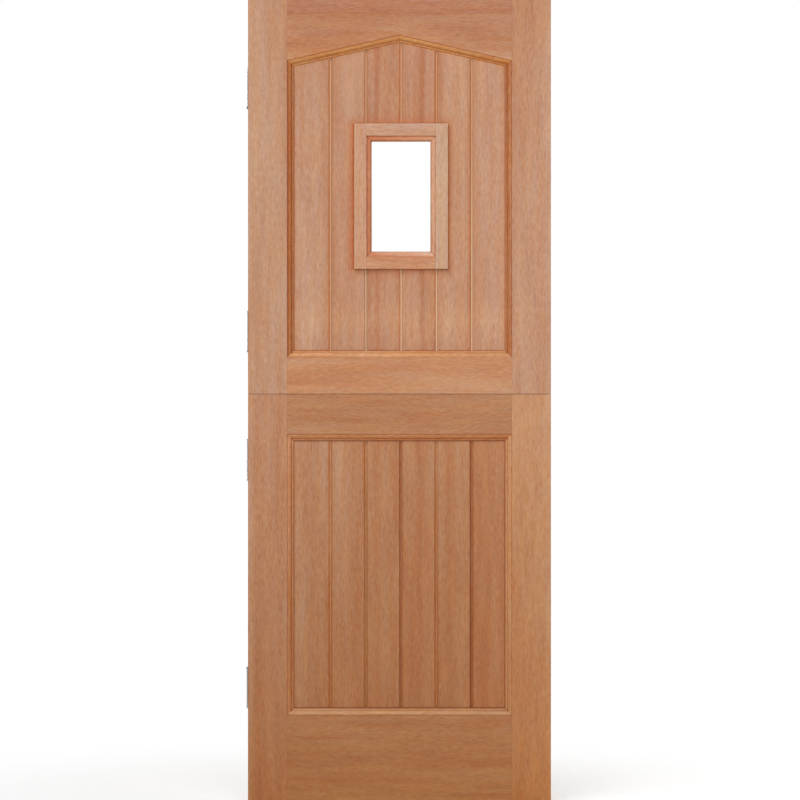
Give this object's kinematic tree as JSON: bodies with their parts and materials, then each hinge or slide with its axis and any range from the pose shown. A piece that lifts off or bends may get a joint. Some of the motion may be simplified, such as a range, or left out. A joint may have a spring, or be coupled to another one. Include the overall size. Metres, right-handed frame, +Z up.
{
  "type": "stable door",
  "caption": "Planked timber stable door in two leaves that swing separately, the upper one with a pointed arch and a small unglazed light.",
  "frame": {"origin": "foot of the lower leaf, in the middle of the leaf's width and thickness", "axes": "+Z up the door, +X to the right seen from outside, +Y from the outside face to the inside face"},
  "size_m": [0.7685, 0.0555, 2.032],
  "materials": {
    "stile_timber": "satin",
    "rail_timber": "satin",
    "board_timber": "satin",
    "moulding_timber": "satin",
    "glazing_frame_timber": "satin",
    "bead_timber": "satin",
    "hinge_steel": "satin",
    "screw_steel": "satin"
  },
  "bodies": {
    "jamb_side": {"jamb_plate_1": "hinge_steel", "jamb_plate_2": "hinge_steel", "jamb_plate_3": "hinge_steel", "jamb_plate_4": "hinge_steel", "hinge_pins": "hinge_steel"},
    "lower_leaf": {"lower_hinge_stile": "stile_timber", "lower_lock_stile": "stile_timber", "lower_top_rail": "rail_timber", "bottom_rail": "rail_timber", "lower_tenon_wedges": "stile_timber", "lower_board_1": "board_timber", "lower_board_2": "board_timber", "lower_board_3": "board_timber", "lower_board_4": "board_timber", "lower_board_5": "board_timber", "lower_board_6": "board_timber", "lower_outside_moulding_bottom": "moulding_timber", "lower_outside_moulding_right": "moulding_timber", "lower_outside_moulding_top": "moulding_timber", "lower_outside_moulding_left": "moulding_timber", "lower_inside_moulding_bottom": "moulding_timber", "lower_inside_moulding_right": "moulding_timber", "lower_inside_moulding_top": "moulding_timber", "lower_inside_moulding_left": "moulding_timber", "leaf_plate_1": "hinge_steel", "leaf_plate_2": "hinge_steel", "lower_hinge_screws": "screw_steel"},
    "upper_leaf": {"upper_hinge_stile": "stile_timber", "upper_lock_stile": "stile_timber", "meeting_rail": "rail_timber", "arched_rail": "rail_timber", "rail_cap": "rail_timber", "upper_tenon_wedges": "stile_timber", "upper_board_1": "board_timber", "upper_board_2": "board_timber", "upper_board_3_above": "board_timber", "upper_board_3_below": "board_timber", "upper_board_4_above": "board_timber", "upper_board_4_below": "board_timber", "upper_board_5": "board_timber", "upper_board_6": "board_timber", "upper_outside_moulding_bottom": "moulding_timber", "upper_outside_moulding_right": "moulding_timber", "upper_outside_moulding_arch_right": "moulding_timber", "upper_outside_moulding_arch_left": "moulding_timber", "upper_outside_moulding_left": "moulding_timber", "upper_inside_moulding_bottom": "moulding_timber", "upper_inside_moulding_right": "moulding_timber", "upper_inside_moulding_arch_right": "moulding_timber", "upper_inside_moulding_arch_left": "moulding_timber", "upper_inside_moulding_left": "moulding_timber", "glazing_frame_left": "glazing_frame_timber", "glazing_frame_right": "glazing_frame_timber", "glazing_frame_head": "glazing_frame_timber", "glazing_frame_sill": "glazing_frame_timber", "outside_glazing_beads": "bead_timber", "inside_glazing_beads": "bead_timber", "leaf_plate_3": "hinge_steel", "leaf_plate_4": "hinge_steel", "upper_hinge_screws": "screw_steel"}
  },
  "joints": [
    {"name": "lower_leaf_swing", "type": "hinge", "parent": "jamb_side", "child": "lower_leaf", "pos_m": [-0.382, 0.028, 0.5765], "axis": [0, 0, 1], "range_deg": [0, 90]},
    {"name": "upper_leaf_swing", "type": "hinge", "parent": "lower_leaf", "child": "upper_leaf", "pos_m": [-0.382, 0.028, 1.49725], "axis": [0, 0, 1], "range_deg": [0, 90]}
  ]
}
